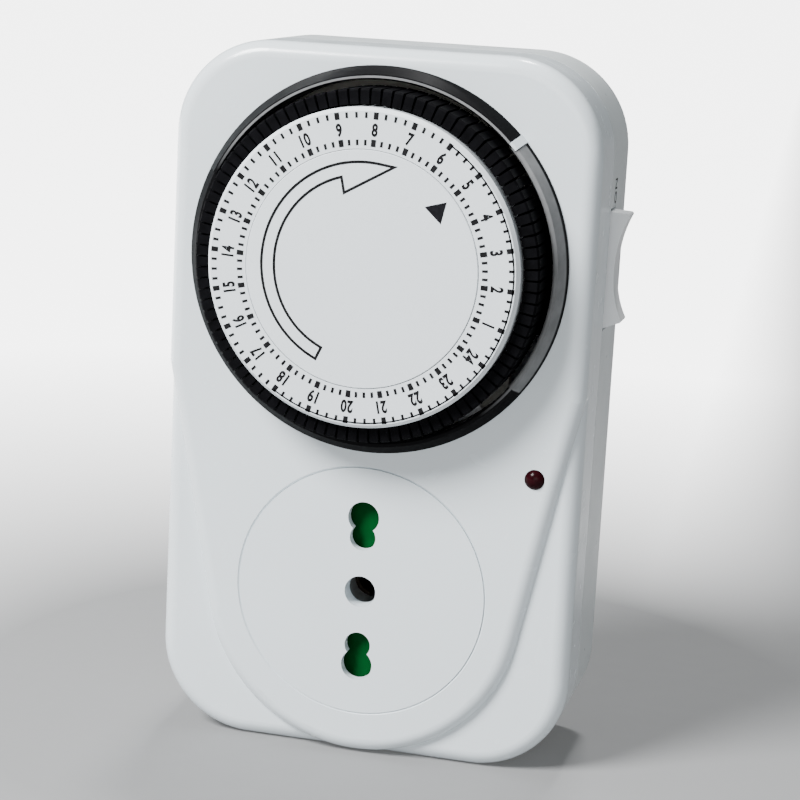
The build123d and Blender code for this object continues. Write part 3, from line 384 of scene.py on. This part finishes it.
def dress_inside():
    """The mouldings, metal and electric pieces behind the case."""
    dress(surface("off_white_moulding", OFF_WHITE, 0.48), "mechanism_plate")
    # socket body: a grey moulding, darkened as painted shade inside the socket holes
    dress(surface("grey_moulding_shaded", SOCKET_GREY_SHADED, 0.48), "socket_body")
    dress(surface("black_sleeve", SLEEVE_BLACK, 0.48), "pin_sleeves")
    dress(surface("acetal", ACETAL, 0.48),
          "motor_pinion", "idler_gear", "switch_lever", "microswitch_plunger")
    dress(plated("nickel", NICKEL, 0.22), "line_pin", "neutral_pin", "earth_pin")
    dress(plated("sheet_brass", BRASS, 0.42, (1.0, 1.0, 10.0)),
          "line_contact", "neutral_contact", "rocker_terminals")
    # the earth contact is brass; its near-black colour is painted shade inside the earth hole
    dress(plated("earth_contact_painted_shade", EARTH_CONTACT_SHADE, 0.60), "earth_contact")
    dress(plated("zinc_steel", STEEL, 0.34),
          "case_screws", "plate_screws", "motor_screws", "idler_shaft", "lever_pivot", "shutter_spring")
    dress(plated("motor_can", MOTOR_CAN, 0.42), "synchronous_motor")
    dress(surface("lamp_glass", GLASS, 0.08, grain=(400.0, 0.01, 0.1), transmission=0.8),
          "indicator_lamp")
    dress(surface("board_laminate", BOARD_BROWN, 0.55, (900.0, 0.25), (1200.0, 0.02, 0.3),
                  (6.0, 1.0, 1.0)),
          "indicator_board")


# ----------------------------------------------------------- flat printed art
def on_face(u, v, y):
    """A point drawn in the front view about the dial's axis, on the face at y."""
    return (u, y, DIAL_Z + v)


def polar(r, angle):
    return (r * cos(radians(angle)), r * sin(radians(angle)))


def add_piece(name, mesh, material, body):
    piece = bpy.data.objects.new(name, mesh)
    bpy.context.scene.collection.objects.link(piece)
    mesh.materials.append(material)
    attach(piece, body)
    return piece


class Print:
    """Thin printed shapes, each a prism that stands on the face at y."""

    def __init__(self, face_y):
        self.y0 = face_y - PRINT_LIFT
        self.y1 = self.y0 - PRINT_T
        self.points = []
        self.faces = []

    def shape(self, outline):
        """Adds a flat closed outline of (u, v) points."""
        start = len(self.points)
        count = len(outline)
        self.points += [on_face(u, v, self.y1) for u, v in outline]
        self.points += [on_face(u, v, self.y0) for u, v in outline]
        self.faces.append(tuple(range(start, start + count)))
        for n in range(count):
            after = (n + 1) % count
            self.faces.append((start + n, start + count + n, start + count + after, start + after))

    def bar(self, r, angle, length, width):
        """A short radial bar centred at radius r."""
        half = degrees(width / 2 / r)
        r0 = r - length / 2
        r1 = r + length / 2
        self.shape([polar(r0, angle - half), polar(r1, angle - half),
                    polar(r1, angle + half), polar(r0, angle + half)])

    def arc(self, r, a0, a1, width, steps):
        """A thin line along the circle of radius r."""
        inner = r - width / 2
        outer = r + width / 2
        for n in range(steps):
            b0 = a0 + (a1 - a0) * n / steps
            b1 = a0 + (a1 - a0) * (n + 1) / steps
            self.shape([polar(inner, b0), polar(outer, b0), polar(outer, b1), polar(inner, b1)])

    def stroke(self, path, width):
        """A line of even width along a closed path, with mitred corners."""
        count = len(path)
        sides = []
        for n in range(count):
            here = Vector(path[n])
            before = (here - Vector(path[n - 1])).normalized()
            after = (Vector(path[(n + 1) % count]) - here).normalized()
            normal = Vector((-(before + after).y, (before + after).x)).normalized()
            reach = width / 2 / max(MITRE_LIMIT, normal.dot(Vector((-after.y, after.x))))
            sides.append((here + normal * reach, here - normal * reach))
        for n in range(count):
            left0, right0 = sides[n]
            left1, right1 = sides[(n + 1) % count]
            self.shape([tuple(right0), tuple(right1), tuple(left1), tuple(left0)])

    def piece(self, name, material, body):
        mesh = bpy.data.meshes.new(name)
        mesh.from_pydata(self.points, [], self.faces)
        mesh.validate()
        add_piece(name, mesh, material, body)


def hour_angle(hour):
    return HOUR_ZERO + HOUR_STEP * hour


def dial_scales(material):
    """Hour marks and quarter ticks of both scales, and the fine line of the night hours."""
    art = Print(RING_FACE_Y)
    for n in range(HOURS * PER_HOUR):
        length, width = QUARTER_TICK if n % PER_HOUR else HOUR_MARK
        for r in (OUTER_MARK_R, INNER_MARK_R):
            art.bar(r, HOUR_ZERO + HOUR_STEP * n / PER_HOUR, length, width)
    art.arc(NIGHT_LINE_R, hour_angle(NIGHT_FROM), hour_angle(NIGHT_TO), NIGHT_LINE_W, NIGHT_LINE_STEPS)
    art.piece("dial_scales", material, "dial")


def text_mesh(body, size, stretch, thicken):
    """Flat mesh of a short text, centred on its own middle."""
    curve = bpy.data.curves.new("text_" + body, "FONT")
    curve.body = body
    curve.size = size
    curve.align_x = "CENTER"
    curve.extrude = PRINT_T / 2
    curve.offset = thicken
    curve.space_character = LETTER_SPACE
    curve.resolution_u = LETTER_CURVE_STEPS
    thing = bpy.data.objects.new("text_" + body, curve)
    bpy.context.scene.collection.objects.link(thing)
    bpy.context.view_layer.update()
    seen = thing.evaluated_get(bpy.context.evaluated_depsgraph_get())
    mesh = bpy.data.meshes.new_from_object(seen)
    bpy.data.objects.remove(thing)
    mesh.materials.clear()
    xs = [v.co.x for v in mesh.vertices]
    ys = [v.co.y for v in mesh.vertices]
    middle = Vector(((min(xs) + max(xs)) / 2, (min(ys) + max(ys)) / 2, 0))
    mesh.transform(Matrix.Translation(-middle))
    mesh.transform(Matrix.Diagonal((stretch, 1.0, 1.0, 1.0)))
    return mesh


def dial_numbers(material):
    """The numbers 1 to 24, tops outward, joined into one piece on the number ring."""
    points = []
    faces = []
    for hour in range(1, HOURS + 1):
        mesh = text_mesh(str(hour), NUMBER_SIZE, NUMBER_STRETCH, NUMBER_THICKEN)
        angle = radians(hour_angle(hour))
        up = Vector((cos(angle), 0, sin(angle)))
        right = Vector((sin(angle), 0, -cos(angle)))
        out = Vector((0, -1, 0))
        place = Matrix((right, up, out)).transposed().to_4x4()
        centre = up * NUMBER_R + Vector((0, RING_FACE_Y - PRINT_LIFT - PRINT_T / 2, DIAL_Z))
        mesh.transform(Matrix.Translation(centre) @ place)
        start = len(points)
        points += [tuple(v.co) for v in mesh.vertices]
        faces += [tuple(start + i for i in p.vertices) for p in mesh.polygons]
    mesh = bpy.data.meshes.new("dial_numbers")
    mesh.from_pydata(points, [], faces)
    add_piece("dial_numbers", mesh, material, "dial")


def switch_mark(material):
    """ON beside the rocker, printed on the right wall and read from below upwards."""
    mesh = text_mesh("ON", SWITCH_MARK_SIZE, SWITCH_MARK_STRETCH, SWITCH_MARK_THICKEN)
    along, up, out = Vector((0, 0, 1)), Vector((0, -1, 0)), Vector((1, 0, 0))
    place = Matrix((along, up, out)).transposed().to_4x4()
    wall_x = CASE_RIGHT_X + PRINT_LIFT + PRINT_T / 2
    mesh.transform(Matrix.Translation(Vector((wall_x, SWITCH_MARK_Y, SWITCH_MARK_Z))) @ place)
    add_piece("switch_mark", mesh, material, "case")


def smooth(share):
    """0 to 1 with soft ends."""
    share = min(1.0, max(0.0, share))
    return share * share * (3 - 2 * share)


def arrow_r(angle):
    """Radius of the arrow's outer line, which spreads a little towards its tip."""
    return ARROW_R + ARROW_FLARE * smooth((ARROW_FLARE_FROM - angle) / ARROW_FLARE_OVER)


def cap_arrow(material):
    """Outline arrow that shows which way the dial turns."""
    art = Print(CAP_FACE_Y)
    shoulder = ARROW_TIP + ARROW_SHOULDER
    path = []
    for n in range(ARROW_STEPS + 1):
        angle = ARROW_TAIL + (ARROW_NECK - ARROW_TAIL) * n / ARROW_STEPS
        path.append(polar(arrow_r(angle) - ARROW_W, angle))
    path.append(polar(ARROW_BARB_R, ARROW_BARB))
    path.append(polar(ARROW_TIP_R, ARROW_TIP))
    for n in range(ARROW_STEPS + 1):
        angle = shoulder + (ARROW_TAIL - shoulder) * n / ARROW_STEPS
        path.append(polar(arrow_r(angle), angle))
    art.stroke(path, ARROW_LINE)
    art.piece("cap_arrow", material, "case")


def cap_triangle(material):
    """Solid triangle that points at the time mark."""
    art = Print(CAP_FACE_Y)
    art.shape([polar(r, angle) for r, angle in TRIANGLE])
    art.piece("cap_triangle", material, "case")


# ----------------------------------------------------------------- the spring
def return_spring(material):
    """Coil that pushes the shutter home; it shortens towards its seat as the shutter slides."""
    low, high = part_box("shutter_spring")
    wire = SPRING_WIRE_R
    radius = (high.z - low.z) / 2 - wire
    middle = (low + high) / 2
    steps = SPRING_TURNS * SPRING_TURN_STEPS
    around = SPRING_WIRE_SIDES
    points = []
    faces = []
    for n in range(steps + 1):
        share = n / steps
        turn = 2 * pi * SPRING_TURNS * share
        out = Vector((0, cos(turn), sin(turn)))
        x = low.x + wire + (high.x - low.x - 2 * wire) * share
        centre = Vector((x, middle.y, middle.z)) + out * radius
        for k in range(around):
            side = 2 * pi * k / around
            points.append(tuple(centre + wire * (out * cos(side) + Vector((sin(side), 0, 0)))))
    for n in range(steps):
        start = n * around
        for k in range(around):
            after = (k + 1) % around
            faces.append((start + k, start + after, start + around + after, start + around + k))
    faces.append(tuple(range(around - 1, -1, -1)))
    faces.append(tuple(range(steps * around, (steps + 1) * around)))
    mesh = bpy.data.meshes.new("return_spring")
    mesh.from_pydata(points, [], faces)
    for face in mesh.polygons:
        face.use_smooth = True
    spring = add_piece("return_spring", mesh, material, "case")
    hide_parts("shutter_spring")
    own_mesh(spring)


# --------------------------------------------------------------------- studio
def floor_paint():
    """Pale floor that glows faintly everywhere, and strongly behind the part and to its left.

    The strong glow keeps the background pale, and stays off the part's right wall.
    """
    paint = Paint("studio_floor", FLOOR_ROUGHNESS)
    paint.colour(FLOOR_TONE, *FLOOR_MOTTLE)
    across, depth, _ = paint.axes()
    slanted = paint.math("ADD", across, paint.math("MULTIPLY", depth, GLOW_RIGHT_SLANT))
    away = paint.band(paint.length(across, depth), GLOW_AWAY, GLOW_REACH, GLOW_AWAY_FADE)
    behind = paint.band(depth, GLOW_BEHIND, GLOW_REACH, GLOW_BEHIND_FADE)
    left = paint.band(slanted, -GLOW_REACH, GLOW_RIGHT, GLOW_RIGHT_FADE)
    glow = paint.math("MULTIPLY", paint.math("MULTIPLY", away, behind), FLOOR_GLOW_BEHIND)
    glow = paint.math("ADD", paint.math("MULTIPLY", glow, left), FLOOR_GLOW_EVERYWHERE)
    paint.feed(paint.shader, {"Emission Color": (1.0, 1.0, 1.0, 1.0), "Emission Strength": glow})
    return paint.material


def floor():
    """A square under the part that reaches past the view."""
    mesh = bpy.data.meshes.new("floor")
    signs = ((-1, -1), (1, -1), (1, 1), (-1, 1))
    corners = [(x * FLOOR_HALF, y * FLOOR_HALF, FLOOR_Z) for x, y in signs]
    mesh.from_pydata(corners, [], [(0, 1, 2, 3)])
    mesh.materials.append(floor_paint())
    plane = bpy.data.objects.new("floor", mesh)
    bpy.context.scene.collection.objects.link(plane)


def add_lamp(name, kind, energy):
    data = bpy.data.lights.new(name, kind)
    data.energy = energy
    lamp = bpy.data.objects.new(name, data)
    bpy.context.scene.collection.objects.link(lamp)
    return lamp


def sun(name, towards, strength, spread):
    """A soft, even light that shines along a direction; spread is in degrees."""
    lamp = add_lamp(name, "SUN", strength)
    lamp.data.angle = radians(spread)
    lamp.rotation_euler = Vector(towards).to_track_quat("-Z", "Y").to_euler()


def softbox(name, towards, distance, irradiance, radius):
    """A round soft lamp that shines along a direction onto the middle of the part."""
    lamp = add_lamp(name, "POINT", irradiance * 4 * pi * distance ** 2)
    lamp.data.shadow_soft_size = radius
    lamp.location = LAMP_TARGET - Vector(towards).normalized() * distance


def lights():
    world = bpy.data.worlds.new("studio")
    bpy.context.scene.world = world
    world.use_nodes = True
    background = world.node_tree.nodes["Background"]
    background.inputs["Color"].default_value = WORLD_COLOUR
    background.inputs["Strength"].default_value = WORLD_STRENGTH
    softbox("key", towards=(0.48, 0.62, -0.71), distance=1.2, irradiance=8.8, radius=0.24)
    sun("rim", towards=(0.0, -0.30, -0.95), strength=2.2, spread=8.0)
    sun("fill", towards=(-0.15, 1.0, -0.10), strength=1.0, spread=40.0)


def camera():
    data = bpy.data.cameras.new("camera")
    data.sensor_width = SENSOR_WIDTH
    data.lens = FOCAL_PIXELS / IMAGE_PIXELS * SENSOR_WIDTH
    data.clip_start = 0.01
    data.clip_end = 100.0
    data.dof.use_dof = False
    forward = CAMERA_FORWARD.normalized()
    up = CAMERA_RIGHT.normalized().cross(forward).normalized()
    right = forward.cross(up).normalized()
    view = bpy.data.objects.new("camera", data)
    bpy.context.scene.collection.objects.link(view)
    axes = Matrix((right, up, -forward)).transposed().to_4x4()
    view.matrix_world = Matrix.Translation(CAMERA_PLACE) @ axes
    bpy.context.scene.camera = view


dress_case()
dress_inside()
dial_ink = ink("dial_ink", DIAL_INK)
dial_scales(dial_ink)
dial_numbers(dial_ink)
cap_arrow(dial_ink)
cap_triangle(ink("mark_ink", MARK_INK))
switch_mark(ink("cap_ink", SWITCH_INK))
return_spring(plated("spring_steel", STEEL, 0.30))
floor()
lights()
camera()
